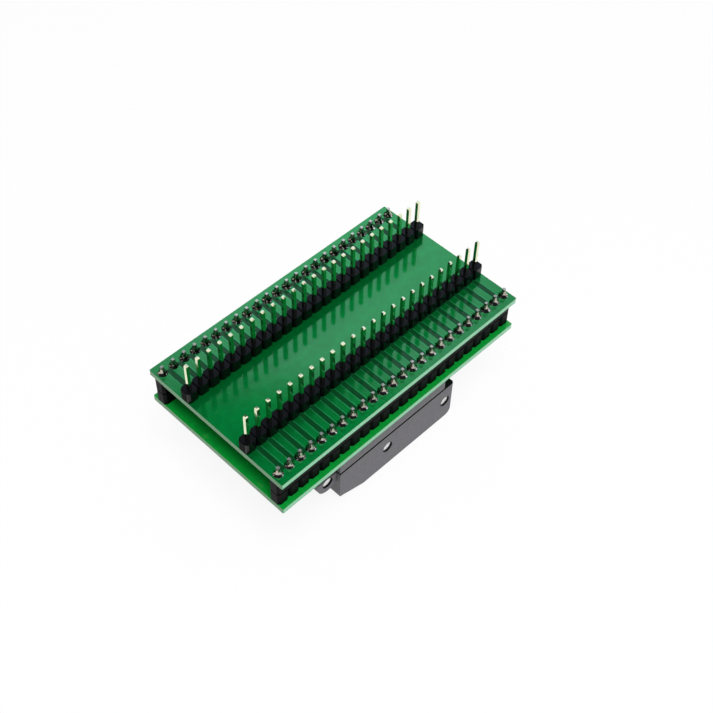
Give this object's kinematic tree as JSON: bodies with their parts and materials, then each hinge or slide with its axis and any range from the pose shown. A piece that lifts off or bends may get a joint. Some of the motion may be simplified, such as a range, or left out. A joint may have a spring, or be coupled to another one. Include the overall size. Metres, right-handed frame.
{
  "type": "ic test socket adapter",
  "caption": "Test socket adapter: two linked circuit boards with plug pins on one face and a hinged clamshell chip socket with latch on the other.",
  "frame": {"origin": "middle of the boards' outline, at the level of the closed socket lid's outer face", "axes": "+X along the pin rows, away from the lid's hinge; +Z out of the plug pins' tips"},
  "size_m": [0.061, 0.035, 0.0351],
  "materials": {
    "solder_mask": "gloss",
    "header_plastic": "satin",
    "gold_pin": "polished",
    "tin_wire": "bright",
    "socket_plastic": "matte",
    "comb_plastic": "matte",
    "pad_plastic": "matte",
    "latch_plastic": "satin",
    "pin_steel": "ground"
  },
  "bodies": {
    "socket_board": {"lower_board": "solder_mask", "link_pin_strip_front": "header_plastic", "link_pin_strip_rear": "header_plastic", "link_pins_front": "gold_pin", "link_pins_rear": "gold_pin", "socket_base": "socket_plastic", "contact_comb_front": "comb_plastic", "contact_comb_rear": "comb_plastic", "chip_contacts_front": "gold_pin", "chip_contacts_rear": "gold_pin", "hinge_pin": "pin_steel"},
    "plug_board": {"upper_board": "solder_mask", "plug_header_front": "header_plastic", "plug_header_rear": "header_plastic", "plug_pins_front": "gold_pin", "plug_pins_rear": "gold_pin", "link_socket_strip_front": "header_plastic", "link_socket_strip_rear": "header_plastic", "link_contacts_front": "tin_wire", "link_contacts_rear": "tin_wire"},
    "lid": {"socket_lid": "socket_plastic", "pad_pin": "pin_steel", "latch_pin": "pin_steel", "latch_spring": "pin_steel"},
    "pad": {"pressure_pad": "pad_plastic"},
    "latch": {"latch_lever": "latch_plastic"}
  },
  "joints": [
    {"name": "plug_board_lift", "type": "slide", "parent": "socket_board", "child": "plug_board", "axis": [0, 0, 1], "range_m": [0, 0.006]},
    {"name": "lid_hinge", "type": "hinge", "parent": "socket_board", "child": "lid", "pos_m": [-0.0163, 0, 0.0084], "axis": [0, 1, 0], "range_deg": [0, 105]},
    {"name": "pad_swivel", "type": "hinge", "parent": "lid", "child": "pad", "pos_m": [-0.0012, 0, 0.006], "axis": [0, 1, 0], "range_deg": [-2, 2]},
    {"name": "latch_pivot", "type": "hinge", "parent": "lid", "child": "latch", "pos_m": [0.01515, 0, 0.00555], "axis": [0, 1, 0], "range_deg": [0, 10], "stiffness_Nm_per_rad": 0.02, "springref_deg": -5.73, "deforming": ["latch_spring"]}
  ]
}
